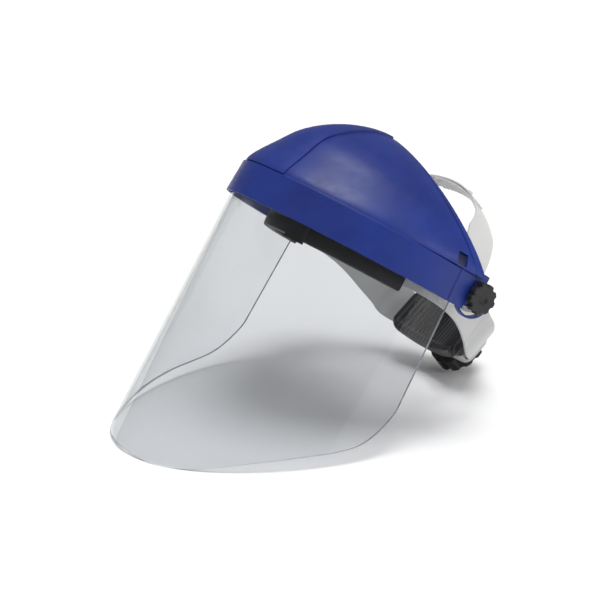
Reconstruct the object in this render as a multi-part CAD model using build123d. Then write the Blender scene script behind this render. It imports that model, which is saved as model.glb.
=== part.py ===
from build123d import *
import math
import os

# Face shield: blue crown protector and clear window, hinged on a ratchet headgear.
#
# Body frame used while building, in millimetres: X points out of the face, Y to the
# wearer's left, Z up the head, and the origin is the middle of the tilt axis.
# Finished parts are then placed as the shield rests on a table: front towards -Y,
# wearer's left towards +X, nose pitched up by REST_PITCH.

# ---- resting attitude --------------------------------------------------------------
REST_PITCH = 33.4  # degrees, window edge and rear knob both touch the table

# ---- crown protector ---------------------------------------------------------------
WALL = 2.2  # moulded wall of the crown protector
RIM_HALF_WIDTH = 110.7
RIM_DEPTH = 134.9  # from the widest plane to the front of the rim
RIM_EXPONENT = 1.78
WIDEST_X = 16.0  # the widest plane of the rim, ahead of the tilt axis
RIM_BOTTOM_Z = -13.0
RIM_TOP_Z = 13.0
RIM_DRAFT = 1.5  # how far the rim leans in over its height
RIM_BEVEL = 1.2
RIM_REAR_X = 9.4
DOME_HALF_WIDTH = 112.0
DOME_DEPTH = 134.3
DOME_HEIGHT = 66.9
DOME_REAR_X = 2.4
DOME_RAKE = 0.79  # forward lean of the rear edge, per mm of height
DOME_PLAN_EXPONENT = 1.66
DOME_REACH_EXPONENT = 1.48
DOME_RISE_EXPONENT = 1.40
DOME_ANGLES = (0, 6, 13, 21, 30, 39, 48, 57, 66, 74, 81, 86)
SKIRT_HEIGHT = 25.0  # below this height the dome spreads forward to meet the top of the rim
SKIRT_REACH = 11.5
SKIRT_FULLNESS = 0.13
RIB_RISE = 1.3  # the middle rib stands this far proud of the side panels
RIB_OUTLINE = ((160, 25), (131, 22), (121, 17.5), (101, 13.5), (76, 8), (55, 4.5), (40, 4))
RECESS_X = 27.0
RECESS_Z = 18.5
RECESS_SIZE = 8.5
RECESS_DEPTH = 1.3

# ---- window ------------------------------------------------------------------------
WINDOW_THICKNESS = 2.0
WINDOW_HALF_WIDTH = 106.2
WINDOW_DEPTH = 130.0
WINDOW_EXPONENT = 1.81
WINDOW_REAR_X = 18.6
WINDOW_TOP_Z = 7.0
WINDOW_CUT_Z = -240.0
WINDOW_WIDTH_FLARE = 0.0005  # growth of the half width per mm downwards
WINDOW_DEPTH_FLARE = -0.00017
WINDOW_CORNER = 11.0
WINDOW_ARCS = 12  # arcs that make up the plan outline of the window
WINDOW_EDGE = (
    (18.6, -108), (32, -130), (46, -143), (70, -160),
    (96.5, -181), (119, -202), (135, -213.5), (150, -216),
)
STUD_ANGLES = (-56, -19, 19, 56)  # plan angles of the window studs
STUD_Z = 0.0
STUD_RADIUS = 1.9
STUD_HEAD_RADIUS = 4.5
STUD_HEAD_THICKNESS = 1.5
STUD_TIP = 2.2  # how far a stud reaches outside the window, into a blind hole in the rim

# ---- headgear ----------------------------------------------------------------------
BAND_CENTRE_X = 6.0
BAND_LENGTH = 100.0  # half length of the head oval, outside of the band
BAND_WIDTH = 80.0  # half width of the head oval
BAND_THICKNESS = 2.0
BAND_TOP_Z = 4.0
BAND_BOTTOM_Z = -17.0
BAND_END_X = -56.0  # in the rear adjuster's frame, where the front part of the band ends
SWEAT_END_X = 40.0
SWEAT_INNER = 8.0
SWEAT_OUTER = 2.0
BROW_TAB_Y = 21.0
BROW_TAB_WIDTH = 16.0
BROW_TAB_THICKNESS = 2.5
FIT = 0.3  # clearance between soft and hard parts
RUNNING_FIT = 0.05

# ---- tilt pivots, distances from the middle of the head outwards ----------------------
HUB_INNER_Y = 77.5
HUB_OUTER_Y = 82.0
HUB_RADIUS = 16.0
STRAP_THICKNESS = 1.2
SPACER_OUTER_Y = 102.2
WASHER_THICKNESS = 1.0
EAR_INNER_Y = 103.4
EAR_OUTER_Y = 107.4
EAR_RADIUS = 17.0
EAR_HUB_RADIUS = 9.8
EAR_LOOP = 1.6  # width of the thin loop round the lower half of the ear
SPACER_RADIUS = 9.0
SPACER_INNER_FLANGE_RADIUS = 12.0
SPACER_OUTER_FLANGE_RADIUS = 12.5
FRICTION_WASHER_RADIUS = 13.0
OUTER_WASHER_RADIUS = 9.0
INSERT_RADIUS = 4.6
KNOB_DISH_RADIUS = 6.0
KNOB_DISH_DEPTH = 1.4
KNOB_HUB_Y = 108.7
KNOB_HUB_RADIUS = 8.4
KNOB_INNER_Y = 111.2
KNOB_THICKNESS = 5.8
KNOB_RADIUS = 11.8
KNOB_LOBES = 9
INSERT_END_Y = 115.2
BOLT_RADIUS = 3.0
BOLT_HEAD_RADIUS = 8.0
BOLT_HEAD_THICKNESS = 2.0
BOLT_END_Y = 114.8
SIDE_GAP = 0.1

# ---- crown strap -------------------------------------------------------------------
STRAP_LEAN = 13.7  # degrees backwards from the tilt axis to the top of the head
STRAP_OUTLINE = (  # side view: wide beside the head, narrow over the top
    (-14, 0), (-14, 50), (-8, 64), (-8, 120), (6, 120), (6, 62), (18, 44), (18, 8), (13, 0)
)
STRAP_CORNER = 3.5
STRAP_STEP = 1.6  # how far the upper half of the strap runs above the lower half
PEG_RADIUS = 2.4
STRAP_Y = HUB_OUTER_Y + 0.1 + STRAP_THICKNESS / 2  # beside the bolt, clear of the boss
STRAP_STRAIGHT_Z = 17.0
STRAP_ARCH = ((79.5, 31), (71.5, 45), (55, 60), (29, 72), (0, 76))
STRAP_OVERLAP = 41.0
STRAP_UNDERLAP = -14.0
PEGS = ((10.0, 75.6), (26.0, 72.8))  # Y and height of the strap where each peg stands

# ---- rear adjuster, in a frame that drops backwards about the tilt axis -----------------
REAR_DROP = 18.0
RACK_X = -94.0
RACK_THICKNESS = 2.0
RACK_REACH = 14.0  # how far each rack runs past the drive gear
RACK_OUTER_Z = 11.6
TAIL_STRAIGHT = 30.0
TAIL_CURVE = ((-91.5, 40), (-83.5, 50), (-71.5, 59), (-60, 64))  # X and Y of the curved part
TAIL_WIDE_Y = 33.5  # the rack widens into the band beyond this, clear of the housing's posts
PINION_RADIUS = 7.0
PINION_TEETH = 12
PRESSURE_ANGLE = 20.0
TOOTH_RISE = 0.8
TOOTH_ROOT = 1.1
TOOTH_HALF = 0.78
SHAFT_RADIUS = 4.0
SHAFT_SQUARE = 5.0  # square drive between the shaft and the ratchet knob
PLATE_FRONT_X = -90.6
PLATE_BACK_X = -92.7
HOUSING_BACK_X = -103.0
HOUSING_WALL = 3.0
HOUSING_HALF_WIDTH = 34.0
HOUSING_HALF_HEIGHT = 14.5
MOUTH_FRONT_X = -91.7  # the open ends of the housing, which the tails slide through
MOUTH_BACK_X = -98.5
SCREW_Y = 22.0
SCREW_RADIUS = 1.15
SCREW_HEAD_RADIUS = 2.8
POST_RADIUS = 3.4
PAD_CORNER = 9.0
RING_FRONT_X = -97.0
RING_RADIUS = 11.0
RING_NOTCHES = 24
PAD_RADIUS = 79.0
PAD_THICKNESS = 7.0
PAD_HALF_WIDTH = 45.0
PAD_BOTTOM_Z = -22.0
PAD_TOP_Z = 17.0
RATCHET_KNOB_RADIUS = 22.0
RATCHET_KNOB_LOBES = 11
RATCHET_KNOB_THICKNESS = 12.0


def place(shape):
    """Turn a part from the body frame to its resting place on the table."""
    return Rot(X=-REST_PITCH) * Rot(Z=-90) * shape


def save(name, *solids):
    """Write one named sub-part, made of one or more separate solids."""
    shape = Compound(children=list(solids)) if len(solids) > 1 else solids[0]
    export_step(place(shape), f"parts/{name}.step")


def rear(shape):
    """Turn a rear adjuster part about the tilt axis so that it drops behind the head."""
    return Rot(Y=-REAR_DROP) * shape


def power(value, exponent):
    """Signed power, for superellipses."""
    return math.copysign(abs(value) ** (2 / exponent), value)


def oval_points(centre_x, depth, half_width, exponent, count=37):
    """Front half of a superellipse, from the wearer's right to the left."""
    points = []
    for step in range(count):
        angle = math.pi * (step / (count - 1) - 0.5)
        along = power(max(math.cos(angle), 0.0), exponent)
        across = power(math.sin(angle), exponent)
        points.append((centre_x + depth * along, half_width * across))
    return points


def plan_face(centre_x, depth, half_width, exponent, rear_x, z):
    """Closed plan outline: a rounded front, short straight sides and a straight rear."""
    points = oval_points(centre_x, depth, half_width, exponent)
    front = Spline(*points, tangents=((1, 0), (-1, 0)))
    if rear_x == centre_x:
        return Pos(0, 0, z) * make_face(front + Line(points[-1], points[0]))
    rest = Polyline(points[-1], (rear_x, half_width), (rear_x, -half_width), points[0])
    return Pos(0, 0, z) * make_face(front + rest)


def side_prism(outline, reach=140):
    """A closed side-view outline in X and Z, extended across the head."""
    face = Plane.XZ * outline
    return extrude(face, reach, both=True)


def across(radius, y_from, y_to, x=0, z=0):
    """Round bar along the tilt axis direction, between two distances from the middle."""
    middle = (y_from + y_to) / 2
    return Pos(x, middle, z) * Rot(X=90) * Cylinder(radius, abs(y_to - y_from))


def both_sides(left):
    """A left-hand solid and its mirror image on the right."""
    return left, mirror(left, about=Plane.XZ)


def rim_block(inset, bottom_z, top_z, rear_x, bevel):
    """The tall rim of the crown as a solid block, leaning in and bevelled on top."""
    def outline(z, shrink):
        lean = RIM_DRAFT * (z - RIM_BOTTOM_Z) / (RIM_TOP_Z - RIM_BOTTOM_Z)
        off = inset + lean + shrink
        return plan_face(WIDEST_X, RIM_DEPTH - off, RIM_HALF_WIDTH - off, RIM_EXPONENT, rear_x, z)
    block = loft([outline(bottom_z, 0), outline(top_z - bevel, 0)], ruled=True)
    if bevel:
        block += loft([outline(top_z - bevel, 0), outline(top_z, bevel)], ruled=True)
    return block


def dome_block(offset, backward=0.0):
    """The dome as a solid block, grown or shrunk by an offset, cut along its raked rear edge."""
    sections = []
    for degrees in DOME_ANGLES:
        angle = math.radians(degrees)
        reach = power(math.cos(angle), DOME_REACH_EXPONENT)
        rise = power(math.sin(angle), DOME_RISE_EXPONENT)
        height = (DOME_HEIGHT + offset) * rise
        rear_x = DOME_REAR_X + DOME_RAKE * height
        z = RIM_TOP_Z + height
        skirt = max(0.0, 1 - DOME_HEIGHT * rise / SKIRT_HEIGHT) ** 1.5
        depth = (DOME_DEPTH + offset) * reach + SKIRT_REACH * skirt
        width = (DOME_HALF_WIDTH + offset) * reach
        exponent = DOME_PLAN_EXPONENT + SKIRT_FULLNESS * skirt
        sections.append(plan_face(rear_x, depth, width, exponent, rear_x - backward, z))
    return loft(sections)


def crown_rib():
    """Middle rib of the crown: a proud strip that narrows from the rim to the top of the rear edge."""
    left = Spline(*RIB_OUTLINE)
    right = Spline(*[(x, -y) for x, y in RIB_OUTLINE])
    front = Line(left @ 0, right @ 0)
    back = Line(left @ 1, right @ 1)
    prism = extrude(make_face(left + right + front + back), 120)
    return (dome_block(RIB_RISE) & prism) - dome_block(0)


def crown_ear():
    """Inner plate that carries the crown on its pivot bolt, open in its lower loop, trimmed behind."""
    disc = across(EAR_RADIUS, EAR_INNER_Y, EAR_OUTER_Y)
    gap = ring_across(EAR_RADIUS - EAR_LOOP, EAR_HUB_RADIUS, EAR_INNER_Y - 1, EAR_OUTER_Y + 1)
    disc -= gap & (Pos(0, EAR_OUTER_Y, -22) * Box(60, 30, 40))
    trim = ring_across(EAR_RADIUS + 1, EAR_HUB_RADIUS + 2.7, EAR_INNER_Y - 1, EAR_OUTER_Y + 1)
    disc -= trim & (Pos(-19, EAR_OUTER_Y, 17) * Box(30, 30, 30))
    web = Pos(13, EAR_INNER_Y + 10, 18.5) * Box(32, 20, 17)
    rim = rim_block(0.5, RIM_BOTTOM_Z, RIM_TOP_Z, RIM_REAR_X, 0)
    disc += (web & dome_block(-0.5)) + (web & rim)
    return disc - across(BOLT_RADIUS + RUNNING_FIT, EAR_INNER_Y - 1, EAR_OUTER_Y + 1)


def rim_shell():
    """The tall rim with its narrow ledge, open below and behind."""
    block = rim_block(0, RIM_BOTTOM_Z, RIM_TOP_Z, RIM_REAR_X, RIM_BEVEL)
    room = rim_block(WALL, RIM_BOTTOM_Z - 1, RIM_TOP_Z - WALL, RIM_REAR_X - 20, 0)
    depth = DOME_DEPTH + SKIRT_REACH - WALL
    width = DOME_HALF_WIDTH - WALL
    exponent = DOME_PLAN_EXPONENT + SKIRT_FULLNESS
    neck = plan_face(DOME_REAR_X, depth, width, exponent, DOME_REAR_X - 20, RIM_TOP_Z + 1)
    return block - room - extrude(neck, -WALL - 2)


def crown_protector():
    """One moulding: rim, recessed side panels, middle rib, two pivot ears and the stud holes."""
    shell = rim_shell()
    shell += dome_block(0) - dome_block(-WALL, backward=20)
    shell += crown_rib()
    column = Pos(RECESS_X, DOME_HALF_WIDTH, RECESS_Z) * Box(RECESS_SIZE, 40, RECESS_SIZE)
    pocket = (column & dome_block(2)) - dome_block(-RECESS_DEPTH)
    for ear in both_sides(crown_ear()):
        shell += ear
    for cut in both_sides(pocket):
        shell -= cut
    for hole in stud_bars(STUD_RADIUS + RUNNING_FIT, 0, STUD_TIP + 0.1):
        shell -= hole
    return shell


def window_size(z):
    """Depth and half width of the window's outside at one height."""
    drop = RIM_BOTTOM_Z - z
    depth = WINDOW_DEPTH * (1 + WINDOW_DEPTH_FLARE * drop)
    return depth, WINDOW_HALF_WIDTH * (1 + WINDOW_WIDTH_FLARE * drop)


def window_outline(z, inset):
    """Closed plan outline of the window at one height, its curve made of short arcs."""
    depth, width = window_size(z)
    points = oval_points(WIDEST_X, depth - inset, width - inset, WINDOW_EXPONENT, 2 * WINDOW_ARCS + 1)
    front = Curve()
    for first in range(0, 2 * WINDOW_ARCS, 2):
        front += ThreePointArc(*points[first:first + 3])
    rear_x = WINDOW_REAR_X - 12
    rest = Polyline(points[-1], (rear_x, width - inset), (rear_x, inset - width), points[0])
    return Pos(0, 0, z) * make_face(front + rest)


def window_shape(inset):
    """The curved window as a solid block down to below the chin."""
    return loft([window_outline(WINDOW_TOP_Z, inset), window_outline(WINDOW_CUT_Z, inset)], ruled=True)


def window_trim():
    """Side-view outline of the window: rounded rear corners and a long curved lower edge."""
    lower = Spline(*WINDOW_EDGE)
    top_z = WINDOW_TOP_Z
    rest = Polyline(WINDOW_EDGE[-1], (170, -216), (170, top_z), (WINDOW_REAR_X, top_z), WINDOW_EDGE[0])
    outline = make_face(lower + rest)
    rear_corners = outline.vertices().group_by(Axis.X)[0]
    return fillet(rear_corners, radius=WINDOW_CORNER)


def window():
    """Clear window, 2 mm thick, with holes for its studs."""
    shell = window_shape(0) - window_shape(WINDOW_THICKNESS)
    shell &= side_prism(window_trim())
    for hole in stud_bars(STUD_RADIUS + 0.1, -2 * WINDOW_THICKNESS, WINDOW_THICKNESS):
        shell -= hole
    return shell


def stud_bars(radius, start, end):
    """Round bars square to the window at each stud, between two distances outside its surface."""
    bars = []
    depth, width = window_size(STUD_Z)
    normal_exponent = WINDOW_EXPONENT / (WINDOW_EXPONENT - 1)
    for degrees in STUD_ANGLES:
        forward = math.cos(math.radians(degrees))
        sideways = math.sin(math.radians(degrees))
        x = WIDEST_X + depth * power(forward, WINDOW_EXPONENT)
        y = width * power(sideways, WINDOW_EXPONENT)
        normal = Vector(power(forward, normal_exponent) / depth, power(sideways, normal_exponent) / width, 0)
        normal = normal.normalized()
        base = Vector(x, y, STUD_Z) + normal * start
        bars.append(extrude(Plane(base, z_dir=normal) * Circle(radius), end - start))
    return bars


def window_studs():
    """Push studs that hold the window inside the rim, one separate solid each."""
    seat = -WINDOW_THICKNESS - 0.4
    shanks = stud_bars(STUD_RADIUS, seat, STUD_TIP)
    heads = stud_bars(STUD_HEAD_RADIUS, seat - STUD_HEAD_THICKNESS, seat)
    return [shank + head for shank, head in zip(shanks, heads)]


def oval_ring(outside, inside, bottom_z, top_z):
    """Ring between two head ovals, given as distances outside the band's own surface."""
    outer = Ellipse(BAND_LENGTH + outside, BAND_WIDTH + outside)
    inner = Ellipse(BAND_LENGTH + inside, BAND_WIDTH + inside)
    return Pos(BAND_CENTRE_X, 0, bottom_z) * extrude(outer - inner, top_z - bottom_z)


def headband():
    """Front and sides of the headband, deeper behind the pivots, with flat bosses for the bolts."""
    dip = ((30, BAND_BOTTOM_Z), (0, -18), (-22, -22), (-45, -31), (-70, -40))
    lower = Spline(*dip, tangents=((-1, 0), (-1, -0.3)))
    upper = Spline((-70, -4), (-40, 6), (-12, 13), (12, 11), (45, BAND_TOP_Z), tangents=((1, 0.3), (1, 0)))
    front = Polyline(upper @ 1, (140, BAND_TOP_Z), (140, BAND_BOTTOM_Z), lower @ 0)
    outline = make_face(lower + Line(lower @ 1, upper @ 0) + upper + front)
    band = oval_ring(0, -BAND_THICKNESS, -60, 40) & side_prism(outline)
    for boss in both_sides(across(HUB_RADIUS, HUB_INNER_Y, HUB_OUTER_Y)):
        band += boss
    for hole in both_sides(across(BOLT_RADIUS + RUNNING_FIT, 60, 90)):
        band -= hole
    for seat in both_sides(across(BOLT_HEAD_RADIUS + FIT, 60, HUB_INNER_Y)):
        band -= seat
    for x, z in ((66, -6), (46, -6)):
        slot = Pos(x, 0, z) * Rot(X=90) * extrude(SlotOverall(14, 5), 100, both=True)
        band -= slot
    return band - rear(Pos(BAND_END_X - 50, 0, 0) * Box(100, 300, 200))


def sweatband():
    """Soft brow band: hugs the front of the headband inside, below and outside."""
    wrap = oval_ring(SWEAT_OUTER, -SWEAT_INNER, -23, 8)
    slot = oval_ring(FIT, -BAND_THICKNESS - FIT, BAND_BOTTOM_Z - FIT, 20)
    front = Pos(SWEAT_END_X + 60, 0, 0) * Box(120, 300, 100)
    return (wrap - slot) & front


def brow_tab():
    """Small clip that closes the sweatband at the brow, on the wearer's left of the middle."""
    ring = oval_ring(SWEAT_OUTER + BROW_TAB_THICKNESS, SWEAT_OUTER + FIT, -25, -9)
    return ring & (Pos(96, BROW_TAB_Y, 0) * Box(60, BROW_TAB_WIDTH, 100))


def strap_half(path_offset, reach):
    """One half of the crown strap: from the pivot bolt on the left over the head to a given Y."""
    low = (STRAP_Y, STRAP_STRAIGHT_Z)
    arch = [low] + [(y + path_offset * y / STRAP_Y, z + path_offset) for y, z in STRAP_ARCH]
    mirrored = [(-y, z) for y, z in reversed(arch[:-1])]
    curve = Spline(*(arch + mirrored), tangents=((0, 1), (0, -1)))
    left_end = Line((STRAP_Y, -HUB_RADIUS), low)
    right_end = Line((-STRAP_Y, STRAP_STRAIGHT_Z), (-STRAP_Y, -HUB_RADIUS))
    ribbon = extrude(Plane.YZ * trace(left_end + curve + right_end, STRAP_THICKNESS), 25, both=True)
    eye = Circle(HUB_RADIUS - 3)
    body = make_face(Polyline(*STRAP_OUTLINE, close=True))
    neck = Pos(0, 12) * Rectangle(2 * HUB_RADIUS - 6, 24)
    ribbon &= side_prism(eye + neck + fillet(body.vertices(), STRAP_CORNER))
    kept = Pos(0, reach + 100, 0) * Box(80, 200, 300)
    half = Rot(Y=-STRAP_LEAN) * (ribbon & kept)
    return half - across(BOLT_RADIUS + RUNNING_FIT, 60, 100)


def strap_pegs(radius, below, above):
    """Round pegs near the top of the head, from below to above the middle of the strap."""
    pegs = []
    for y, z in PEGS:
        peg = Pos(0, y, z + (above - below) / 2) * Cylinder(radius, above + below)
        pegs.append(Rot(Y=-STRAP_LEAN) * peg)
    return pegs


def crown_strap_left():
    """Lower half of the crown strap, with two pegs."""
    half = strap_half(0, STRAP_UNDERLAP)
    for peg in strap_pegs(PEG_RADIUS, 0.4, 3.4):
        half += peg
    return half


def crown_strap_right():
    """Upper half of the crown strap: lies over the left half, with holes for its pegs."""
    half = mirror(strap_half(STRAP_STEP, -STRAP_OVERLAP), about=Plane.XZ)
    for hole in strap_pegs(PEG_RADIUS + 0.2, 6, 8):
        half -= hole
    return half


def bolt():
    """Left pivot bolt: a wide flat head inside the band and a shank out to the knob."""
    head = across(BOLT_HEAD_RADIUS, HUB_INNER_Y - BOLT_HEAD_THICKNESS, HUB_INNER_Y)
    return head + across(BOLT_RADIUS, HUB_INNER_Y, BOLT_END_Y)


def ring_across(outer, inner, y_from, y_to):
    """Flat ring or sleeve around the tilt axis."""
    return across(outer, y_from, y_to) - across(inner, y_from - 1, y_to + 1)


def hub_spacer():
    """Stepped sleeve that holds the crown ear away from the headband."""
    start = HUB_OUTER_Y + STRAP_THICKNESS + SIDE_GAP
    sleeve = across(SPACER_RADIUS, start, SPACER_OUTER_Y)
    sleeve += across(SPACER_INNER_FLANGE_RADIUS, start, start + 3)
    sleeve += across(SPACER_OUTER_FLANGE_RADIUS, SPACER_OUTER_Y - 2.5, SPACER_OUTER_Y)
    return sleeve - across(BOLT_RADIUS + RUNNING_FIT, 60, 120)


def friction_washer():
    """Washer between the fixed spacer and the moving ear."""
    start = SPACER_OUTER_Y + SIDE_GAP
    return ring_across(FRICTION_WASHER_RADIUS, BOLT_RADIUS + RUNNING_FIT, start, start + WASHER_THICKNESS)


def outer_washer():
    """Washer between the moving ear and the knob."""
    start = EAR_OUTER_Y + SIDE_GAP
    return ring_across(OUTER_WASHER_RADIUS, BOLT_RADIUS + RUNNING_FIT, start, start + WASHER_THICKNESS)


def scalloped(radius, lobes, thickness, bite):
    """Knob blank with round lobes, standing on its base, with softened edges."""
    outline = Circle(radius)
    cutter = math.pi * radius / lobes * 0.52
    for location in PolarLocations(radius + cutter - bite, lobes):
        outline -= location * Circle(cutter)
    outline = fillet(outline.vertices(), cutter * 0.35)
    blank = extrude(outline, thickness)
    return fillet(blank.edges().group_by(Axis.Z)[-1], 1.0)


def pivot_knob():
    """Left pivot knob with a dished face and a pocket for its threaded insert."""
    blank = scalloped(KNOB_RADIUS, KNOB_LOBES, KNOB_THICKNESS, 1.5)
    blank -= Pos(0, 0, KNOB_THICKNESS + KNOB_DISH_RADIUS - KNOB_DISH_DEPTH) * Sphere(KNOB_DISH_RADIUS)
    knob = Pos(0, KNOB_INNER_Y, 0) * Rot(X=-90) * blank
    knob += across(KNOB_HUB_RADIUS, KNOB_HUB_Y, KNOB_INNER_Y + 1)
    knob -= across(INSERT_RADIUS, KNOB_HUB_Y + 1, INSERT_END_Y + 0.02)
    return knob - across(BOLT_RADIUS + RUNNING_FIT, KNOB_HUB_Y - 1, INSERT_END_Y)


def knob_insert():
    """Threaded metal insert pressed into the pivot knob."""
    bore = BOLT_RADIUS + RUNNING_FIT
    return ring_across(INSERT_RADIUS, bore, KNOB_HUB_Y + 1.02, INSERT_END_Y)


def rear_slab(outline, x_front, x_back):
    """A rear-view outline in Y and Z, extended between two distances behind the tilt axis."""
    return Pos(x_back, 0, 0) * extrude(Plane.YZ * outline, x_front - x_back)


def rear_bar(radius, x_front, x_back, y=0.0):
    """Round bar along the ratchet axis direction."""
    return rear_slab(Pos(y, 0) * Circle(radius), x_front, x_back)


def tooth(root_depth):
    """Outline of one gear tooth that points up, with its pitch line through the origin."""
    slope = math.tan(math.radians(PRESSURE_ANGLE))
    root = TOOTH_HALF + root_depth * slope
    tip = TOOTH_HALF - TOOTH_RISE * slope
    corners = ((-root, -root_depth), (root, -root_depth), (tip, TOOTH_RISE), (-tip, TOOTH_RISE))
    return make_face(Polyline(*corners, close=True))


def drive_gear():
    """Pinion and its stepped shaft, with a square drive for the knob."""
    outline = Circle(PINION_RADIUS - TOOTH_ROOT)
    for step in range(PINION_TEETH):
        angle = 360 * step / PINION_TEETH
        outline += Rot(Z=angle) * Pos(0, PINION_RADIUS) * tooth(TOOTH_ROOT + 0.6)
    gear = rear_slab(outline, RACK_X + 1.1, RACK_X - 1.1)
    gear += rear_bar(2.0, PLATE_FRONT_X - 0.3, RACK_X)
    gear += rear_bar(SHAFT_RADIUS, RACK_X, HOUSING_BACK_X - 0.3)
    gear += rear_slab(Rectangle(SHAFT_SQUARE, SHAFT_SQUARE), HOUSING_BACK_X, HOUSING_BACK_X - 5)
    return gear - rear_bar(1.3, HOUSING_BACK_X + 5, HOUSING_BACK_X - 6)


def tail(rack_side):
    """Left band tail: a curved plate behind the ear that narrows to a toothed rack.

    rack_side is 1 for a rack above the drive gear and -1 for one below it.
    """
    curve = Spline((RACK_X, TAIL_STRAIGHT), *TAIL_CURVE)
    path = Line((RACK_X, -RACK_REACH), (RACK_X, TAIL_STRAIGHT)) + curve
    strip = Pos(0, 0, -30) * extrude(trace(path, RACK_THICKNESS), 60)
    pitch = 2 * math.pi * PINION_RADIUS / PINION_TEETH
    root_z = PINION_RADIUS + TOOTH_ROOT
    rack_end = TAIL_WIDE_Y + 1
    bar = Rectangle(rack_end + RACK_REACH, RACK_OUTER_Z - root_z)
    rack = Pos((rack_end - RACK_REACH) / 2, (root_z + RACK_OUTER_Z) / 2) * bar
    for step in range(-4, 4):
        rack += Pos((step + 0.5) * pitch, PINION_RADIUS) * Rot(Z=180) * tooth(TOOTH_ROOT + 0.3)
    if rack_side < 0:
        rack = mirror(rack, about=Plane.XZ)
    upper = ((80, 14), (58, 15.2), (45, RACK_OUTER_Z), (TAIL_WIDE_Y, RACK_OUTER_Z))
    lower = ((TAIL_WIDE_Y, -RACK_OUTER_Z), (45, -RACK_OUTER_Z), (58, -18.5), (80, -20))
    plate = make_face(Polyline(*lower, *upper, close=True))
    return strip & rear_slab(rack + plate, -40, -110)


def left_tail():
    """Left tail of the headband, with its rack above the drive gear."""
    return tail(1)


def right_tail():
    """Right tail of the headband, with its rack below the drive gear."""
    return mirror(tail(-1), about=Plane.XZ)


def ratchet_housing():
    """Rear shell of the adjuster: holds the ratchet ring and the screw posts."""
    outline = RectangleRounded(2 * HOUSING_HALF_WIDTH, 2 * HOUSING_HALF_HEIGHT, 8)
    shell = rear_slab(outline, PLATE_BACK_X, HOUSING_BACK_X)
    shell = fillet(shell.faces().sort_by(Axis.X)[0].edges(), 3)
    shell -= rear_slab(Rectangle(100, 2 * HOUSING_HALF_HEIGHT - 5), MOUTH_FRONT_X, MOUTH_BACK_X)
    room = RectangleRounded(2 * HOUSING_HALF_WIDTH - 5, 2 * HOUSING_HALF_HEIGHT - 5, 6)
    shell -= rear_slab(room, PLATE_BACK_X + 1, HOUSING_BACK_X + HOUSING_WALL)
    seat = Circle(RING_RADIUS + 2) - Circle(RING_RADIUS + RUNNING_FIT)
    shell += rear_slab(seat, RING_FRONT_X - 1, HOUSING_BACK_X + 1)
    for y in (-SCREW_Y, SCREW_Y):
        post = rear_bar(POST_RADIUS, PLATE_BACK_X - 0.05, HOUSING_BACK_X + 1, y)
        shell += post
        shell -= rear_bar(SCREW_RADIUS + RUNNING_FIT, PLATE_BACK_X, HOUSING_BACK_X + HOUSING_WALL, y)
    return shell - rear_bar(SHAFT_RADIUS + RUNNING_FIT, RACK_X, HOUSING_BACK_X - 1)


def ratchet_ring():
    """Ring with inward notches that the pawl clicks over."""
    ring = Circle(RING_RADIUS) - Circle(RING_RADIUS - 2.2)
    for location in PolarLocations(RING_RADIUS - 2.2, RING_NOTCHES):
        ring -= location * Circle(0.9)
    return rear_slab(ring, RING_FRONT_X, RING_FRONT_X - 3)


def pawl_disc():
    """Springy disc on the knob shaft, with two sprung pawl arms inside the ring."""
    disc = Circle(5.8)
    for turn in (0, 180):
        disc += Rot(Z=turn) * Pos(1.8, 6.2) * Rectangle(6, 1.4)
        disc += Rot(Z=turn) * Pos(4.8, 6.2) * Circle(0.8)
    return rear_slab(disc - Circle(SHAFT_RADIUS + RUNNING_FIT), RING_FRONT_X - 0.3, RING_FRONT_X - 2.7)


def housing_plate():
    """Front plate of the adjuster: keeps the racks in and carries the nape pad."""
    plate = rear_slab(RectangleRounded(48, 25, 5), PLATE_FRONT_X, PLATE_BACK_X + 0.05)
    plate -= rear_bar(2.0 + RUNNING_FIT, PLATE_FRONT_X + 1, PLATE_BACK_X - 1)
    for y in (-SCREW_Y, SCREW_Y):
        plate -= rear_bar(1.7, PLATE_FRONT_X + 1, PLATE_BACK_X - 1, y)
    return plate


def housing_screws():
    """Two screws that join the front plate to the rear shell."""
    screws = []
    for y in (-SCREW_Y, SCREW_Y):
        head = rear_bar(SCREW_HEAD_RADIUS, PLATE_FRONT_X + 1.6, PLATE_FRONT_X + 0.02, y)
        tip_x = HOUSING_BACK_X + HOUSING_WALL + 0.6
        screws.append(head + rear_bar(SCREW_RADIUS, PLATE_FRONT_X + 0.1, tip_x, y))
    return screws


def nape_pad():
    """Soft curved pad between the adjuster and the back of the head."""
    back_x = PLATE_FRONT_X + 0.1
    ring = Circle(PAD_RADIUS) - Circle(PAD_RADIUS - PAD_THICKNESS)
    pad = Pos(back_x + PAD_RADIUS, 0, PAD_BOTTOM_Z) * extrude(ring, PAD_TOP_Z - PAD_BOTTOM_Z)
    outline = RectangleRounded(2 * PAD_HALF_WIDTH, PAD_TOP_Z - PAD_BOTTOM_Z, PAD_CORNER)
    return pad & rear_slab(Pos(0, (PAD_TOP_Z + PAD_BOTTOM_Z) / 2) * outline, -40, -110)


def ratchet_knob():
    """Scalloped adjuster knob with a square socket for the drive gear."""
    blank = scalloped(RATCHET_KNOB_RADIUS, RATCHET_KNOB_LOBES, RATCHET_KNOB_THICKNESS, 2.0)
    blank -= Pos(0, 0, RATCHET_KNOB_THICKNESS) * Cylinder(14.5, 3.0)
    knob = Pos(HOUSING_BACK_X - 0.4, 0, 0) * Rot(Y=-90) * blank
    socket = SHAFT_SQUARE + 0.1
    knob -= rear_slab(Rectangle(socket, socket), HOUSING_BACK_X, HOUSING_BACK_X - socket)
    return knob - rear_bar(1.6, HOUSING_BACK_X, HOUSING_BACK_X - 20)


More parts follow.
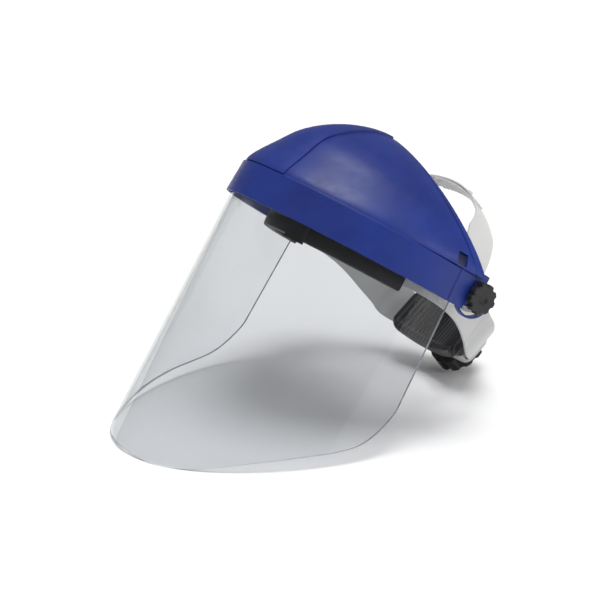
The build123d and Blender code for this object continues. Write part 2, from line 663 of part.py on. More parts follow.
def knob_screw():
    """Screw through the ratchet knob into the drive gear."""
    face_x = HOUSING_BACK_X - 0.4 - RATCHET_KNOB_THICKNESS + 1.5
    head = rear_bar(3.4, face_x - 0.02, face_x - 1.8)
    return head + rear_bar(1.25, HOUSING_BACK_X + 4, face_x - 0.5)


os.makedirs("parts", exist_ok=True)
if __name__ == "__main__":
    save("crown_protector", crown_protector())
    save("window", window())
    save("window_studs", *window_studs())
    save("headband", headband())
    save("sweatband", sweatband())
    save("brow_tab", brow_tab())
    save("crown_strap_left", crown_strap_left())
    save("crown_strap_right", crown_strap_right())
    save("pivot_bolts", *both_sides(bolt()))
    save("hub_spacers", *both_sides(hub_spacer()))
    save("friction_washers", *both_sides(friction_washer()))
    save("outer_washers", *both_sides(outer_washer()))
    save("left_pivot_knob", pivot_knob())
    save("right_pivot_knob", mirror(pivot_knob(), about=Plane.XZ))
    save("left_knob_insert", knob_insert())
    save("right_knob_insert", mirror(knob_insert(), about=Plane.XZ))
    save("left_tail", rear(left_tail()))
    save("right_tail", rear(right_tail()))
    save("ratchet_housing", rear(ratchet_housing()))
    save("ratchet_ring", rear(ratchet_ring()))
    save("housing_plate", rear(housing_plate()))
    save("housing_screws", *[rear(screw) for screw in housing_screws()])
    save("nape_pad", rear(nape_pad()))
    save("drive_gear", rear(drive_gear()))
    save("pawl_disc", rear(pawl_disc()))
    save("ratchet_knob", rear(ratchet_knob()))
    save("knob_screw", rear(knob_screw()))
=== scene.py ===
import bmesh
import bpy
import math
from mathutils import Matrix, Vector, noise


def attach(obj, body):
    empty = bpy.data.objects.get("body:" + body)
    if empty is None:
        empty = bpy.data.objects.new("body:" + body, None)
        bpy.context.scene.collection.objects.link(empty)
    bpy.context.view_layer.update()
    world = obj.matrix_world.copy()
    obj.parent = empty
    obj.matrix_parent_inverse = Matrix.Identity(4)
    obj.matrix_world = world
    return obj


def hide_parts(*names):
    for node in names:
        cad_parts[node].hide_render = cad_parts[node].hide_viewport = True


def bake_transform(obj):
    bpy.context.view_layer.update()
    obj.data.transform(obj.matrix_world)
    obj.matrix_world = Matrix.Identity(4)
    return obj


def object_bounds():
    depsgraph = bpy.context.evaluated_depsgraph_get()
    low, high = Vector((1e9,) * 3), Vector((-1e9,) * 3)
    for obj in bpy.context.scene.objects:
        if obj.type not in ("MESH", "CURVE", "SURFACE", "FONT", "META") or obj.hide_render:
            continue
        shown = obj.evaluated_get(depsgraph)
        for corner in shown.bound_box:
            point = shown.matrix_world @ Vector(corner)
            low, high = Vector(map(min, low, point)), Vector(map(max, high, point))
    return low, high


# Looks of the face shield. Lengths in the helpers are millimetres in the wearer's frame
# (x out of the face, y to the wearer's left, z up); row() turns them into scene metres.

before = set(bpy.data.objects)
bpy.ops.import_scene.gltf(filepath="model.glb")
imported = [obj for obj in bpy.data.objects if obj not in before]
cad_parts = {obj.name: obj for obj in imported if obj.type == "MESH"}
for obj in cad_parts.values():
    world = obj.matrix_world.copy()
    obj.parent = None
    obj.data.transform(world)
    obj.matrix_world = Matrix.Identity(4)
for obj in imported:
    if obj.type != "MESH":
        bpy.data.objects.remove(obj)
cad_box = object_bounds()

REST_PITCH = math.radians(33.4)
REAR_DROP = math.radians(18.0)

# window, the same sizes as the CAD window
WIDEST_X = 16.0
RIM_BOTTOM_Z = -13.0
WINDOW_HALF_WIDTH = 106.2
WINDOW_DEPTH = 130.0
WINDOW_EXPONENT = 1.81
WINDOW_WIDTH_FLARE = 0.0005
WINDOW_DEPTH_FLARE = -0.00017
WINDOW_THICKNESS = 2.0
WINDOW_REAR_X = 18.6
WINDOW_TOP_Z = 7.0
WINDOW_CORNER = 11.0
WINDOW_EDGE = (
    (18.6, -108), (32, -130), (46, -143), (70, -160),
    (96.5, -181), (119, -202), (135, -213.5), (150, -216),
)

# small square recesses in the sides of the crown, whose floors get painted shade
RECESS_X = 27.0
RECESS_Z = 18.5
RECESS_REACH = 4.2

# head oval of the band
BAND_CENTRE_X = 6.0
BAND_LENGTH = 100.0
BAND_WIDTH = 80.0
BAND_THICKNESS = 2.0
SWEAT_END_X = 40.0

# rear adjuster
BAND_END_X = -56.0
PAD_BACK_X = -90.5
PAD_RADIUS = 79.0
PAD_THICKNESS = 7.0
PAD_HALF_WIDTH = 45.0
PAD_BOTTOM_Z = -22.0
PAD_TOP_Z = 17.0
PAD_CORNER = 9.0
RIB_PITCH = 3.75
RIB_DEPTH = 1.3

# light
WORLD_SIDE = 0.22
WORLD_TOP = 0.80
WORLD_MIRRORED = 0.22
SUN_STRENGTH = 1.75
SUN_WIDTH = 32.0  # degrees, for soft shadow edges
SUN_FROM = (0.12, 0.10, 0.98)


# ---- frames and curves ---------------------------------------------------------------
def row(x, y, z):
    """Wearer's frame in millimetres to the scene in metres."""
    back = -x * math.cos(REST_PITCH) + z * math.sin(REST_PITCH)
    up = x * math.sin(REST_PITCH) + z * math.cos(REST_PITCH)
    return Vector((y, back, up)) / 1000


def rear_row(x, y, z):
    """Rear adjuster's dropped frame in millimetres to the scene in metres."""
    forward = x * math.cos(REAR_DROP) - z * math.sin(REAR_DROP)
    up = x * math.sin(REAR_DROP) + z * math.cos(REAR_DROP)
    return row(forward, y, up)


def signed_power(value, power):
    return math.copysign(abs(value) ** power, value)


def smoothstep(low, high, value):
    share = min(max((value - low) / (high - low), 0.0), 1.0)
    return share * share * (3 - 2 * share)


def catmull(points, share):
    """Point on a smooth curve through the points, share running from 0 to 1."""
    spans = len(points) - 1
    position = min(share * spans, spans - 1e-9)
    first = int(position)
    t = position - first
    p1 = Vector(points[first])
    p2 = Vector(points[first + 1])
    p0 = Vector(points[first - 1]) if first > 0 else 2 * p1 - p2
    p3 = Vector(points[first + 2]) if first + 2 <= spans else 2 * p2 - p1
    return 0.5 * (2 * p1 + (p2 - p0) * t + (2 * p0 - 5 * p1 + 4 * p2 - p3) * t ** 2
                  + (3 * p1 - p0 - 3 * p2 + p3) * t ** 3)


def height_on(curve, x):
    """Height of a smooth side-view curve at a distance x ahead of the tilt axis."""
    for step in range(400):
        low = catmull(curve, step / 400)
        high = catmull(curve, (step + 1) / 400)
        if low.x <= x <= high.x:
            share = (x - low.x) / max(high.x - low.x, 1e-6)
            return low.y + share * (high.y - low.y)
    return curve[0][1] if x < curve[0][0] else curve[-1][1]


def corner_drop(distance, radius):
    """How far a rounded corner pulls an edge in, at a distance from the side edge."""
    if distance >= radius:
        return 0.0
    return radius - math.sqrt(max(radius ** 2 - (radius - distance) ** 2, 0.0))


# ---- mesh building -------------------------------------------------------------------
def finish_mesh(name, bm, sharp_degrees=35.0):
    """Clean up a bmesh and turn it into a smooth-shaded object with crisp edges where it turns."""
    bmesh.ops.recalc_face_normals(bm, faces=bm.faces)
    for face in bm.faces:
        face.smooth = True
    for edge in bm.edges:
        if len(edge.link_faces) == 2 and edge.calc_face_angle(0.0) > math.radians(sharp_degrees):
            edge.smooth = False
    mesh = bpy.data.meshes.new(name)
    bm.to_mesh(mesh)
    bm.free()
    piece = bpy.data.objects.new(name, mesh)
    bpy.context.scene.collection.objects.link(piece)
    return piece


def sheet_solid(name, outer, inner, edge_slot=0):
    """Closed solid between two matching grids of points; its border strip can use another material."""
    bm = bmesh.new()
    rows = len(outer)
    columns = len(outer[0])
    top = [[bm.verts.new(point) for point in line] for line in outer]
    bottom = [[bm.verts.new(point) for point in line] for line in inner]
    for i in range(rows - 1):
        for j in range(columns - 1):
            bm.faces.new((top[i][j], top[i][j + 1], top[i + 1][j + 1], top[i + 1][j]))
            bm.faces.new((bottom[i][j], bottom[i + 1][j], bottom[i + 1][j + 1], bottom[i][j + 1]))
    border = [(i, 0) for i in range(rows)] + [(rows - 1, j) for j in range(1, columns)]
    border += [(i, columns - 1) for i in range(rows - 2, -1, -1)] + [(0, j) for j in range(columns - 2, 0, -1)]
    for (i, j), (m, n) in zip(border, border[1:] + border[:1]):
        strip = bm.faces.new((top[i][j], bottom[i][j], bottom[m][n], top[m][n]))
        strip.material_index = edge_slot
    return finish_mesh(name, bm)


def loop_solid(name, loops):
    """Closed solid through a row of matching closed loops, capped at both ends."""
    bm = bmesh.new()
    rings = [[bm.verts.new(point) for point in loop] for loop in loops]
    count = len(loops[0])
    for one, two in zip(rings, rings[1:]):
        for k in range(count):
            bm.faces.new((one[k], one[(k + 1) % count], two[(k + 1) % count], two[k]))
    bm.faces.new(rings[0])
    bm.faces.new(list(reversed(rings[-1])))
    return finish_mesh(name, bm)


def bevel(piece, width_mm, segments=2):
    """Round the sharp edges of a piece a little, applied at once."""
    modifier = piece.modifiers.new("Rounding", "BEVEL")
    modifier.width = width_mm / 1000
    modifier.segments = segments
    modifier.limit_method = "ANGLE"
    modifier.angle_limit = math.radians(35)
    modifier.harden_normals = False
    bpy.context.view_layer.objects.active = piece
    with bpy.context.temp_override(object=piece, active_object=piece, selected_objects=[piece]):
        bpy.ops.object.modifier_apply(modifier=modifier.name)


# ---- material building ---------------------------------------------------------------
def new_material(name):
    material = bpy.data.materials.new(name)
    material.use_nodes = True
    tree = material.node_tree
    return material, tree, tree.nodes["Principled BSDF"]


def add_noise(tree, scale, detail=4.0, roughness=0.55, stretch=(1, 1, 1)):
    """Noise in the object's own space, scale in features per metre."""
    place = tree.nodes.new("ShaderNodeTexCoord")
    mapping = tree.nodes.new("ShaderNodeMapping")
    mapping.inputs["Scale"].default_value = stretch
    texture = tree.nodes.new("ShaderNodeTexNoise")
    texture.inputs["Scale"].default_value = scale
    texture.inputs["Detail"].default_value = detail
    texture.inputs["Roughness"].default_value = roughness
    tree.links.new(place.outputs["Object"], mapping.inputs["Vector"])
    tree.links.new(mapping.outputs["Vector"], texture.inputs["Vector"])
    return texture.outputs["Fac"]


def add_ramp(tree, value, low, high, colours):
    ramp = tree.nodes.new("ShaderNodeValToRGB")
    ramp.color_ramp.elements[0].position = low
    ramp.color_ramp.elements[1].position = high
    ramp.color_ramp.elements[0].color = (*colours[0], 1)
    ramp.color_ramp.elements[1].color = (*colours[1], 1)
    tree.links.new(value, ramp.inputs["Fac"])
    return ramp.outputs["Color"]


def add_bump(tree, shader, heights, strength=0.5, depth_mm=0.05):
    """Chain bumps from several height sources, the first one nearest the shader."""
    normal = None
    for height in heights:
        bump = tree.nodes.new("ShaderNodeBump")
        bump.inputs["Strength"].default_value = strength
        bump.inputs["Distance"].default_value = depth_mm / 1000
        tree.links.new(height, bump.inputs["Height"])
        if normal is not None:
            tree.links.new(normal, bump.inputs["Normal"])
        normal = bump.outputs["Normal"]
    tree.links.new(normal, shader.inputs["Normal"])


def moulded_plastic(name, dark, light, roughness, grain_scale, grain_depth, coat=0.0):
    """Injection-moulded plastic: fine spark grain, slow colour drift, faint handling marks."""
    material, tree, shader = new_material(name)
    drift = add_noise(tree, 18, detail=3)
    tree.links.new(add_ramp(tree, drift, 0.3, 0.7, (dark, light)), shader.inputs["Base Color"])
    marks = add_noise(tree, 90, detail=6, stretch=(1, 1, 3))
    low = (roughness * 0.86,) * 3
    high = (roughness * 1.14,) * 3
    tree.links.new(add_ramp(tree, marks, 0.35, 0.65, (low, high)), shader.inputs["Roughness"])
    grain = add_noise(tree, grain_scale, detail=2)
    add_bump(tree, shader, (grain,), strength=0.6, depth_mm=grain_depth)
    shader.inputs["Specular IOR Level"].default_value = 0.4
    shader.inputs["Coat Weight"].default_value = coat
    shader.inputs["Coat Roughness"].default_value = 0.25
    return material


def within(tree, value, middle, reach):
    """One where a value lies within reach of the middle, nought elsewhere."""
    near = tree.nodes.new("ShaderNodeMath")
    near.operation = "COMPARE"
    near.inputs[1].default_value = middle / 1000
    near.inputs[2].default_value = reach / 1000
    tree.links.new(value, near.inputs[0])
    return near.outputs["Value"]


def crown_plastic():
    """Blue moulded plastic, with painted shade, mottled by noise, on the floor of the small square recesses."""
    material = moulded_plastic("crown_blue", (0.007, 0.021, 0.17), (0.011, 0.034, 0.245), 0.40, 2600, 0.03, 0.05)
    tree = material.node_tree
    shader = tree.nodes["Principled BSDF"]
    place = tree.nodes.new("ShaderNodeTexCoord")
    turned = tree.nodes.new("ShaderNodeMapping")
    turned.inputs["Rotation"].default_value = (REST_PITCH, 0, 0)
    tree.links.new(place.outputs["Object"], turned.inputs["Vector"])
    split = tree.nodes.new("ShaderNodeSeparateXYZ")
    tree.links.new(turned.outputs["Vector"], split.inputs["Vector"])
    # The square mask marks the recess floors, which get painted shade.
    square = tree.nodes.new("ShaderNodeMath")
    square.operation = "MULTIPLY"
    tree.links.new(within(tree, split.outputs["Y"], -RECESS_X, RECESS_REACH), square.inputs[0])
    tree.links.new(within(tree, split.outputs["Z"], RECESS_Z, RECESS_REACH), square.inputs[1])
    shade = tree.nodes.new("ShaderNodeMixRGB")
    tree.links.new(square.outputs["Value"], shade.inputs["Fac"])
    tree.links.new(shader.inputs["Base Color"].links[0].from_socket, shade.inputs["Color1"])
    # Near-black blue painted shade for the recess floors, mottled by noise.
    texture = add_noise(tree, 700, detail=2)
    painted_recess_shade = add_ramp(tree, texture, 0.4, 0.6, ((0.002, 0.003, 0.02), (0.005, 0.010, 0.07)))
    tree.links.new(painted_recess_shade, shade.inputs["Color2"])
    tree.links.new(shade.outputs["Color"], shader.inputs["Base Color"])
    return material


def ribbed_rubber():
    """Black moulded rubber whose rib crests are painted paler than the valleys: a painted highlight where light
    catches them.
    """
    material = moulded_plastic("pad_black", (0.008, 0.008, 0.009), (0.014, 0.014, 0.015), 0.42, 1500, 0.06)
    tree = material.node_tree
    shader = tree.nodes["Principled BSDF"]
    place = tree.nodes.new("ShaderNodeTexCoord")
    split = tree.nodes.new("ShaderNodeSeparateXYZ")
    tree.links.new(place.outputs["Object"], split.inputs["Vector"])
    turns = tree.nodes.new("ShaderNodeMath")
    turns.operation = "MULTIPLY"
    turns.inputs[1].default_value = 2000 * math.pi / RIB_PITCH
    tree.links.new(split.outputs["X"], turns.inputs[0])
    crest = tree.nodes.new("ShaderNodeMath")
    crest.operation = "COSINE"
    tree.links.new(turns.outputs["Value"], crest.inputs[0])
    # Painted highlight on the rib crests, paler than the valleys.
    crest_highlight = tree.nodes.new("ShaderNodeMixRGB")
    crest_highlight.inputs["Color2"].default_value = (0.06, 0.06, 0.062, 1)
    tree.links.new(add_ramp(tree, crest.outputs["Value"], 0.5, 1.0, ((0, 0, 0), (1, 1, 1))), crest_highlight.inputs["Fac"])
    tree.links.new(shader.inputs["Base Color"].links[0].from_socket, crest_highlight.inputs["Color1"])
    tree.links.new(crest_highlight.outputs["Color"], shader.inputs["Base Color"])
    return material


def turned_metal(name, colour, roughness, stretch):
    """Plated metal with fine turning lines and slightly uneven plating."""
    material, tree, shader = new_material(name)
    shader.inputs["Metallic"].default_value = 1.0
    plating = add_noise(tree, 160, detail=5)
    dim = tuple(channel * 0.82 for channel in colour)
    tree.links.new(add_ramp(tree, plating, 0.35, 0.7, (dim, colour)), shader.inputs["Base Color"])
    lines = add_noise(tree, 900, detail=3, stretch=stretch)
    low = (roughness * 0.7,) * 3
    high = (roughness * 1.3,) * 3
    tree.links.new(add_ramp(tree, lines, 0.3, 0.7, (low, high)), shader.inputs["Roughness"])
    add_bump(tree, shader, (lines,), strength=0.4, depth_mm=0.02)
    return material


def soft_black(name):
    """Knitted cover over foam: small woven cells, sheen, and lint-like colour variation."""
    material, tree, shader = new_material(name)
    lint = add_noise(tree, 420, detail=5)
    tree.links.new(add_ramp(tree, lint, 0.35, 0.75, ((0.004, 0.004, 0.005), (0.014, 0.014, 0.015))),
                   shader.inputs["Base Color"])
    shader.inputs["Roughness"].default_value = 0.55
    shader.inputs["Sheen Weight"].default_value = 0.1
    shader.inputs["Sheen Roughness"].default_value = 0.4
    place = tree.nodes.new("ShaderNodeTexCoord")
    cells = tree.nodes.new("ShaderNodeTexVoronoi")
    cells.inputs["Scale"].default_value = 1100
    tree.links.new(place.outputs["Object"], cells.inputs["Vector"])
    add_bump(tree, shader, (cells.outputs["Distance"], lint), strength=0.5, depth_mm=0.12)
    return material


def clear_sheet(name, painted_shade_tint, far_tint):
    """Thin clear polycarbonate: see-through, a Fresnel reflection and faint surface haze.

    The wall nearest the eye greys what lies behind it with a painted shade tint; walls seen through it stay
    clearer.
    """
    material, tree, principled = new_material(name)
    tree.nodes.remove(principled)
    output = tree.nodes["Material Output"]
    see_through = tree.nodes.new("ShaderNodeBsdfTransparent")
    haze = add_noise(tree, 14, detail=3)
    # The near wall's tint is painted shade, with a faint haze drift.
    hazed_shade_tint = tuple(channel * 0.985 for channel in painted_shade_tint)
    path = tree.nodes.new("ShaderNodeLightPath")
    further = tree.nodes.new("ShaderNodeMath")
    further.operation = "GREATER_THAN"
    further.inputs[1].default_value = 1.5
    tree.links.new(path.outputs["Transparent Depth"], further.inputs[0])
    tint = tree.nodes.new("ShaderNodeMixRGB")
    tint.inputs["Color2"].default_value = (*far_tint, 1)
    tree.links.new(further.outputs["Value"], tint.inputs["Fac"])
    tree.links.new(add_ramp(tree, haze, 0.35, 0.65, (hazed_shade_tint, painted_shade_tint)), tint.inputs["Color1"])
    tree.links.new(tint.outputs["Color"], see_through.inputs["Color"])
    gloss = tree.nodes.new("ShaderNodeBsdfGlossy")
    smears = add_noise(tree, 60, detail=6, stretch=(1, 3, 1))
    tree.links.new(add_ramp(tree, smears, 0.3, 0.8, ((0.03,) * 3, (0.09,) * 3)), gloss.inputs["Roughness"])
    fresnel = tree.nodes.new("ShaderNodeFresnel")
    fresnel.inputs["IOR"].default_value = 1.58
    ripple = add_noise(tree, 9, detail=1)
    bump = tree.nodes.new("ShaderNodeBump")
    bump.inputs["Strength"].default_value = 0.15
    bump.inputs["Distance"].default_value = 0.0002
    tree.links.new(ripple, bump.inputs["Height"])
    tree.links.new(bump.outputs["Normal"], gloss.inputs["Normal"])
    geometry = tree.nodes.new("ShaderNodeNewGeometry")
    outside = tree.nodes.new("ShaderNodeMath")
    outside.operation = "SUBTRACT"
    outside.inputs[0].default_value = 1.0
    tree.links.new(geometry.outputs["Backfacing"], outside.inputs[1])
    mirror_share = tree.nodes.new("ShaderNodeMath")
    mirror_share.operation = "MULTIPLY"
    tree.links.new(fresnel.outputs["Fac"], mirror_share.inputs[0])
    tree.links.new(outside.outputs["Value"], mirror_share.inputs[1])
    layered = tree.nodes.new("ShaderNodeMixShader")
    tree.links.new(mirror_share.outputs["Value"], layered.inputs["Fac"])
    tree.links.new(see_through.outputs["BSDF"], layered.inputs[1])
    tree.links.new(gloss.outputs["BSDF"], layered.inputs[2])
    tree.links.new(layered.outputs["Shader"], output.inputs["Surface"])
    return material


def cut_edge(name):
    """Trimmed edge of the clear sheet, where light runs along the wall: painted grey shade with bright streaks of
    painted glint.
    """
    material, tree, shader = new_material(name)
    # Painted light and shade: the grey edge and its bright streaks are put into the base colour.
    streaks = add_noise(tree, 120, detail=5)
    tree.links.new(add_ramp(tree, streaks, 0.3, 0.75, ((0.16, 0.18, 0.19), (0.55, 0.59, 0.60))),
                   shader.inputs["Base Color"])
    shader.inputs["Roughness"].default_value = 0.22
    shader.inputs["Transmission Weight"].default_value = 0.35
    shader.inputs["IOR"].default_value = 1.58
    fine = add_noise(tree, 1400, detail=2)
    add_bump(tree, shader, (fine,), strength=0.4, depth_mm=0.03)
    return material


def make_materials():
    return {
        "crown": crown_plastic(),
        "band": moulded_plastic("band_grey", (0.47, 0.475, 0.47), (0.53, 0.535, 0.53), 0.42, 2200, 0.03, 0.1),
        "strap": moulded_plastic("strap_white", (0.62, 0.615, 0.60), (0.68, 0.675, 0.66), 0.45, 2200, 0.03),
        "black": moulded_plastic("black_plastic", (0.010, 0.010, 0.011), (0.017, 0.017, 0.018), 0.38, 1800, 0.05),
        "rubber": ribbed_rubber(),
        "nylon": moulded_plastic("natural_nylon", (0.60, 0.58, 0.53), (0.68, 0.66, 0.60), 0.5, 2000, 0.03),
        "foam": soft_black("sweat_cover"),
        # window_clear: the first colour is the near wall's painted shade tint, the second the far walls' own
        # faint tint.
        "clear": clear_sheet("window_clear", (0.83, 0.84, 0.85), (0.97, 0.975, 0.98)),
        "edge": cut_edge("window_edge"),
        "steel": turned_metal("zinc_plate", (0.62, 0.62, 0.63), 0.32, (1, 1, 6)),
        "brass": turned_metal("turned_brass", (0.72, 0.52, 0.22), 0.30, (6, 1, 1)),
    }


# ---- clear window --------------------------------------------------------------------
def window_point(degrees, z, inset):
    """Point on the window wall at a plan angle and height, inset from the outer surface."""
    drop = RIM_BOTTOM_Z - z
    depth = WINDOW_DEPTH * (1 + WINDOW_DEPTH_FLARE * drop)
    width = WINDOW_HALF_WIDTH * (1 + WINDOW_WIDTH_FLARE * drop)
    forward = math.cos(math.radians(degrees))
    sideways = math.sin(math.radians(degrees))
    power = 2 / WINDOW_EXPONENT
    normal = Vector((signed_power(forward, 2 - power) / depth, signed_power(sideways, 2 - power) / width))
    normal.normalize()
    x = WIDEST_X + depth * max(forward, 0.0) ** power - inset * normal.x
    y = width * signed_power(sideways, power) - inset * normal.y
    return x, y


def window_angles():
    """Plan angles of the window's columns, closer together near the rear edges."""
    last = math.degrees(math.acos(((WINDOW_REAR_X - WIDEST_X) / WINDOW_DEPTH) ** (WINDOW_EXPONENT / 2)))
    half = [last * (1 - (1 - step / 60) ** 1.25) for step in range(61)]
    return [-angle for angle in reversed(half[1:])] + half


def clear_window(materials):
    """The window as one smooth moulded sheet with a long curved lower edge."""
    outer = []
    inner = []
    for angle in window_angles():
        low = -120.0
        for _ in range(4):
            x, _y = window_point(angle, low, 0)
            low = height_on(WINDOW_EDGE, x)
        x, _y = window_point(angle, 0, 0)
        pull = corner_drop(x - WINDOW_REAR_X, WINDOW_CORNER)
        high = WINDOW_TOP_Z - pull
        low += pull
        heights = [low + (high - low) * step / 48 for step in range(49)]
        outer.append([row(*window_point(angle, z, 0), z) for z in heights])
        inner.append([row(*window_point(angle, z, WINDOW_THICKNESS), z) for z in heights])
    piece = sheet_solid("window_sheet", outer, inner, edge_slot=1)
    piece.data.materials.append(materials["clear"])
    piece.data.materials.append(materials["edge"])
    bevel(piece, 0.35)
    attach(piece, "crown")
    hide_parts("window")
    return piece


# ---- sweatband -----------------------------------------------------------------------
def sweat_profile():
    """Closed section of the folded sweatband: distance outside the band, and height."""
    points = []
    for step in range(33):
        z = 6.6 - 28.6 * step / 32
        roll = abs(math.sin(math.pi * (z - 6.6) / 9.5)) ** 0.45
        points.append((1.25 + 0.75 * roll, z))
    for step in range(1, 8):
        angle = math.pi * step / 8
        points.append((-3.0 + 4.9 * math.cos(angle), -21.4 - 1.5 * math.sin(angle)))
    for step in range(33):
        z = -21.4 + 28.0 * step / 32
        puff = abs(math.sin(math.pi * (z + 21.4) / 14.0)) ** 0.5
        points.append((-6.4 - 1.5 * puff, z))
    points += [(-5.6, 7.6), (-4.4, 7.9), (-3.2, 7.6), (-2.4, 6.8)]
    points += [(-2.4, -10.0), (-2.4, -17.0), (-1.0, -17.3), (0.4, -17.0), (0.4, -10.0), (0.4, 6.6), (0.8, 7.4)]
    return points


def band_frame(degrees, outside):
    """Point at a distance outside the band's oval."""
    angle = math.radians(degrees)
    base = Vector((BAND_LENGTH * math.cos(angle), BAND_WIDTH * math.sin(angle)))
    normal = Vector((math.cos(angle) / BAND_LENGTH, math.sin(angle) / BAND_WIDTH)).normalized()
    point = base + outside * normal
    return BAND_CENTRE_X + point.x, point.y


def sweatband(materials):
    """Soft brow band folded round the headband, with rolled hems and gently uneven padding."""
    end = math.degrees(math.acos((SWEAT_END_X - BAND_CENTRE_X) / BAND_LENGTH))
    profile = sweat_profile()
    loops = []
    count = 150
    for step in range(count + 1):
        degrees = -end + 2 * end * step / count
        taper = min(step, count - step) / 2
        shrink = 1.0 if taper >= 1 else 0.86 + 0.14 * taper
        loop = []
        for outside, z in profile:
            middle = 1.2 if outside > 0 else -4.5
            thick = middle + (outside - middle) * shrink
            ripple = 0.25 * noise.noise(Vector((degrees * 0.16, z * 0.12, 3.1)))
            pucker = 0.10 * math.sin(math.radians(degrees) * 170) * math.exp(-((z + 3) / 1.5) ** 2)
            if outside < -6 or outside > 1.2:
                thick += (ripple + pucker) * (1 if outside < 0 else 0.5) - (0.25 if outside > 0 else -0.25)
            x, y = band_frame(degrees, thick)
            loop.append(row(x, y, -8 + (z + 8) * (0.985 + 0.015 * shrink)))
        loops.append(loop)
    piece = loop_solid("sweatband_cover", loops)
    piece.data.materials.append(materials["foam"])
    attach(piece, "headgear")
    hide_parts("sweatband")
    return piece


# ---- nape pad ------------------------------------------------------------------------
def nape_pad(materials):
    """Curved rear pad: upright ribs on its front, rounded rim and a smooth lower lip."""
    front = []
    back = []
    rows = 64
    columns = 260
    for i in range(rows + 1):
        z = PAD_BOTTOM_Z + (PAD_TOP_Z - PAD_BOTTOM_Z) * i / rows
        rise = min(z - PAD_BOTTOM_Z, PAD_TOP_Z - z)
        half = PAD_HALF_WIDTH - corner_drop(rise, PAD_CORNER)
        front_line = []
        back_line = []
        for j in range(columns + 1):
            y = half * (-1 + 2 * j / columns)
            border = min(rise, half - abs(y))
            rim = corner_drop(border, 2.5)
            rib_zone = smoothstep(3.0, 5.0, border) * smoothstep(-16.5, -14.5, z)
            rib = RIB_DEPTH * (0.5 - 0.5 * math.cos(2 * math.pi * y / RIB_PITCH)) ** 0.7 * rib_zone
            arc = PAD_RADIUS - PAD_THICKNESS + rim + rib + 0.2
            front_y = y * (arc / PAD_RADIUS)
            reach = PAD_BACK_X + PAD_RADIUS
            front_line.append(rear_row(reach - math.sqrt(arc ** 2 - front_y ** 2), front_y, z))
            depth = PAD_RADIUS - 0.6 * corner_drop(border, 1.5)
            back_line.append(rear_row(reach - math.sqrt(depth ** 2 - y ** 2), y, z))
        front.append(front_line)
        back.append(back_line)
    piece = sheet_solid("nape_pad_ribbed", front, back)
    piece.data.materials.append(materials["rubber"])
    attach(piece, "rear_adjuster")
    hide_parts("nape_pad")
    return piece


# ---- flexible band tails -------------------------------------------------------------
def band_surface(x, z):
    """Middle of the band's wall beside the head, at a place given in the rear frame."""
    forward = x * math.cos(REAR_DROP) - z * math.sin(REAR_DROP)
    share = (forward - BAND_CENTRE_X) / (BAND_LENGTH - 1)
    return (BAND_WIDTH - 1) * math.sqrt(1 - share ** 2)


def band_tail(name, side, materials):
    """Flexible tail that carries the band on from the cut behind the ear into the adjuster."""
    lows = [Vector((value, 0)) for value in (-15.9, -16.6, -18.2, -15.6, -12.2, -11.6, -11.6)]
    highs = [Vector((value, 0)) for value in (17.6, 16.9, 15.4, 14.2, 12.2, 11.6, 11.6)]
    outer = []
    inner = []
    steps = 72
    for k in range(15):
        share_up = k / 14
        z0 = lows[0].x + (highs[0].x - lows[0].x) * share_up
        path = [(BAND_END_X, band_surface(BAND_END_X, z0)), (-62.0, band_surface(-62.0, z0) * 0.5 + 62.9 * 0.5)]
        path += [(-71.5, 59), (-83.5, 50), (-91.5, 40), (-94.0, 30), (-94.0, 20)]
        outer_line = []
        inner_line = []
        for step in range(steps + 1):
            share = step / steps
            point = catmull(path, share)
            ahead = catmull(path, min(share + 0.01, 1.0)) - catmull(path, max(share - 0.01, 0.0))
            normal = Vector((ahead.y, -ahead.x)).normalized()
            if normal.y < normal.x:
                normal = -normal
            z = catmull(lows, share).x * (1 - share_up) + catmull(highs, share).x * share_up
            for offset, line in ((BAND_THICKNESS / 2, outer_line), (-BAND_THICKNESS / 2, inner_line)):
                spot = point + offset * normal
                line.append(rear_row(spot.x, side * spot.y, z))
        outer.append(outer_line)
        inner.append(inner_line)
    piece = sheet_solid(name, outer, inner)
    piece.data.materials.append(materials["band"])
    bevel(piece, 0.4)
    return piece


def band_tails(materials):
    for name, side, body, node in (
        ("left_band_tail", 1, "left_slider", "left_tail"),
        ("right_band_tail", -1, "right_slider", "right_tail"),
    ):
        piece = band_tail(name, side, materials)
        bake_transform(piece)
        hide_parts(node)


# ---- carried-over CAD nodes ----------------------------------------------------------
NODE_MATERIALS = {
    "crown": ("crown_protector",),
    "band": ("headband", "hub_spacers", "ratchet_housing"),
    "strap": ("crown_strap_left", "crown_strap_right"),
    "black": ("window_studs", "brow_tab", "left_pivot_knob", "right_pivot_knob", "housing_plate", "ratchet_knob"),
    "steel": ("pivot_bolts", "outer_washers", "housing_screws", "knob_screw"),
    "nylon": ("friction_washers", "ratchet_ring", "drive_gear", "pawl_disc"),
    "brass": ("left_knob_insert", "right_knob_insert"),
}


def paint_cad(materials):
    for key, nodes in NODE_MATERIALS.items():
        for name in nodes:
            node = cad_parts[name]
            if not node.material_slots:
                node.data.materials.append(materials[key])
            for slot in node.material_slots:
                slot.material = materials[key]


# ---- stage ---------------------------------------------------------------------------
def make_floor():
    bpy.ops.mesh.primitive_plane_add(size=12, location=(0, 0, cad_box[0][2]))
    floor = bpy.context.active_object
    floor.name = "floor"
    material, tree, shader = new_material("floor_white")
    shader.inputs["Base Color"].default_value = (0.93, 0.93, 0.93, 1)
    shader.inputs["Roughness"].default_value = 0.9
    shader.inputs["Specular IOR Level"].default_value = 0.1
    floor.data.materials.append(material)


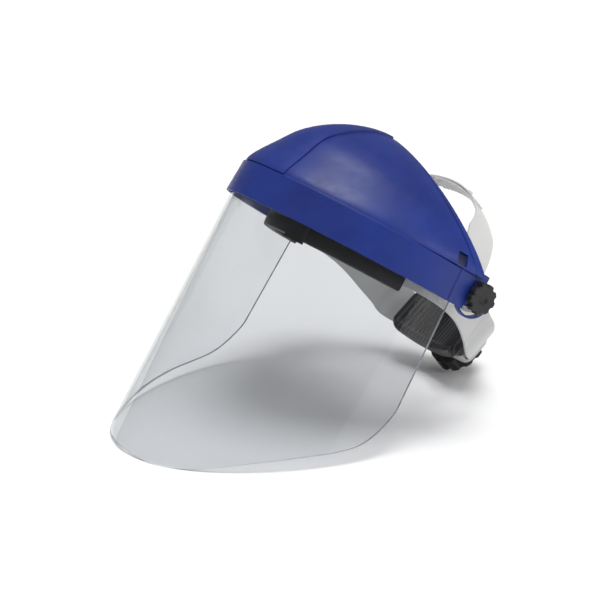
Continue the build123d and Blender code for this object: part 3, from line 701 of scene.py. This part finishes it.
def make_world():
    """White to the camera; as light, strong from above and weak from the sides; dim where mirrored."""
    world = bpy.data.worlds.new("studio")
    bpy.context.scene.world = world
    world.use_nodes = True
    tree = world.node_tree
    background = tree.nodes["Background"]
    background.inputs["Color"].default_value = (1, 1, 1, 1)
    path = tree.nodes.new("ShaderNodeLightPath")
    direction = tree.nodes.new("ShaderNodeTexCoord")
    split = tree.nodes.new("ShaderNodeSeparateXYZ")
    tree.links.new(direction.outputs["Generated"], split.inputs["Vector"])
    dome = tree.nodes.new("ShaderNodeMapRange")
    dome.inputs["To Min"].default_value = WORLD_SIDE
    dome.inputs["To Max"].default_value = WORLD_TOP
    tree.links.new(split.outputs["Z"], dome.inputs["Value"])
    mirrored = tree.nodes.new("ShaderNodeMix")
    mirrored.inputs["B"].default_value = WORLD_MIRRORED
    tree.links.new(path.outputs["Is Glossy Ray"], mirrored.inputs["Factor"])
    tree.links.new(dome.outputs["Result"], mirrored.inputs["A"])
    seen = tree.nodes.new("ShaderNodeMix")
    seen.inputs["B"].default_value = 1.0
    tree.links.new(path.outputs["Is Camera Ray"], seen.inputs["Factor"])
    tree.links.new(mirrored.outputs["Result"], seen.inputs["A"])
    tree.links.new(seen.outputs["Result"], background.inputs["Strength"])


def area_light(name, location, target, size, power):
    light = bpy.data.lights.new(name, "AREA")
    light.shape = "RECTANGLE"
    light.size, light.size_y = size
    light.energy = power
    lamp = bpy.data.objects.new(name, light)
    lamp.location = location
    lamp.rotation_euler = (Vector(target) - Vector(location)).to_track_quat("-Z", "Y").to_euler()
    bpy.context.scene.collection.objects.link(lamp)
    return lamp


def make_lights():
    """One broad overhead light, which also throws the soft shadow under the shield, and a side fill."""
    sun = bpy.data.lights.new("overhead", "SUN")
    sun.energy = SUN_STRENGTH
    sun.angle = math.radians(SUN_WIDTH)
    lamp = bpy.data.objects.new("overhead", sun)
    lamp.rotation_euler = Vector(SUN_FROM).to_track_quat("Z", "Y").to_euler()
    bpy.context.scene.collection.objects.link(lamp)
    area_light("fill", (1.5, 0.9, 0.7), (0, 0, 0), (0.8, 0.8), 5)


def make_camera():
    camera = bpy.data.cameras.new("camera")
    camera.sensor_width = 36
    camera.lens = 94.76
    camera.clip_start = 0.05
    holder = bpy.data.objects.new("camera", camera)
    holder.location = (0.96206, -0.67356, 0.36827)
    holder.rotation_euler = [math.radians(angle) for angle in (71.0966, 0.3695, 58.3353)]
    bpy.context.scene.collection.objects.link(holder)
    bpy.context.scene.camera = holder


materials = make_materials()
paint_cad(materials)
clear_window(materials)
sweatband(materials)
nape_pad(materials)
band_tails(materials)
make_floor()
make_world()
make_lights()
make_camera()
bpy.context.scene.view_settings.view_transform = "Standard"
